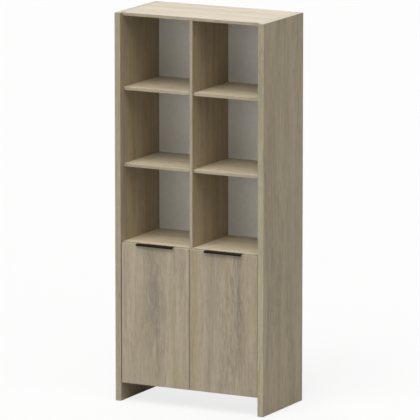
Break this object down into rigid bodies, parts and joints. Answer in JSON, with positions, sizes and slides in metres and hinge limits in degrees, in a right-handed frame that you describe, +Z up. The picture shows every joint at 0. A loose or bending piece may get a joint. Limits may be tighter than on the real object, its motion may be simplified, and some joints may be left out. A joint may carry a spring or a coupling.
{
  "type": "storage cabinet",
  "caption": "Tall oak-look cabinet: open niches over a closed cupboard with two inset doors, black edge pulls and concealed hinges.",
  "frame": {"origin": "on the floor, in the middle of the closed cabinet's outer box", "axes": "+Z up, the doors and niches face -Y, +X is to the right of someone facing the doors"},
  "size_m": [0.8, 0.425, 1.9],
  "materials": {
    "oak": "pale oak grain, satin foil on board",
    "back_white": "white-painted fibreboard, matt",
    "strip_white": "white extruded plastic, matt",
    "pull_black": "black powder coat, satin",
    "nickel": "nickel-plated steel",
    "glide_plastic": "grey-white plastic",
    "bumper_clear": "soft clear polyurethane"
  },
  "bodies": {
    "carcass": {"left_side_panel": "oak", "right_side_panel": "oak", "top_panel": "oak", "middle_panel": "oak", "bottom_panel": "oak", "upper_divider": "oak", "lower_divider": "oak", "lower_left_open_shelf": "oak", "lower_right_open_shelf": "oak", "upper_left_open_shelf": "oak", "upper_right_open_shelf": "oak", "left_cupboard_shelf": "oak", "right_cupboard_shelf": "oak", "upper_back_board": "back_white", "lower_back_board": "back_white", "back_joining_strip": "strip_white", "left_lower_hinge_arm": "nickel", "left_lower_hinge_plate": "nickel", "left_upper_hinge_arm": "nickel", "left_upper_hinge_plate": "nickel", "right_lower_hinge_arm": "nickel", "right_lower_hinge_plate": "nickel", "right_upper_hinge_arm": "nickel", "right_upper_hinge_plate": "nickel", "shelf_support_left_side_front": "nickel", "shelf_support_left_side_rear": "nickel", "shelf_support_left_divider_front": "nickel", "shelf_support_left_divider_rear": "nickel", "shelf_support_right_side_front": "nickel", "shelf_support_right_side_rear": "nickel", "shelf_support_right_divider_front": "nickel", "shelf_support_right_divider_rear": "nickel", "glide_left_front": "glide_plastic", "glide_left_rear": "glide_plastic", "glide_right_front": "glide_plastic", "glide_right_rear": "glide_plastic"},
    "left_link": {"left_lower_hinge_link": "nickel", "left_upper_hinge_link": "nickel"},
    "left_door": {"left_door": "oak", "left_pull": "pull_black", "left_lower_hinge_cup": "nickel", "left_upper_hinge_cup": "nickel", "bumper_left_top": "bumper_clear", "bumper_left_bottom": "bumper_clear"},
    "right_link": {"right_lower_hinge_link": "nickel", "right_upper_hinge_link": "nickel"},
    "right_door": {"right_door": "oak", "right_pull": "pull_black", "right_lower_hinge_cup": "nickel", "right_upper_hinge_cup": "nickel", "bumper_right_top": "bumper_clear", "bumper_right_bottom": "bumper_clear"}
  },
  "joints": [
    {"name": "left_link_swing", "type": "hinge", "parent": "carcass", "child": "left_link", "pos_m": [-0.33765, -0.178, 0.4385], "axis": [0, 0, -1], "range_deg": [-33.92, 0]},
    {"name": "left_door_swing", "type": "hinge", "parent": "left_link", "child": "left_door", "pos_m": [-0.355, -0.18904, 0.4385], "axis": [0, 0, -1], "range_deg": [0, 128.91]},
    {"name": "right_link_swing", "type": "hinge", "parent": "carcass", "child": "right_link", "pos_m": [0.33765, -0.178, 0.4385], "axis": [0, 0, 1], "range_deg": [-33.92, 0]},
    {"name": "right_door_swing", "type": "hinge", "parent": "right_link", "child": "right_door", "pos_m": [0.355, -0.18904, 0.4385], "axis": [0, 0, 1], "range_deg": [0, 128.91]}
  ],
  "couplings": [
    {"joint": "left_link_swing", "follows": "left_door_swing", "ratio": -0.26308},
    {"joint": "right_link_swing", "follows": "right_door_swing", "ratio": -0.26308}
  ]
}
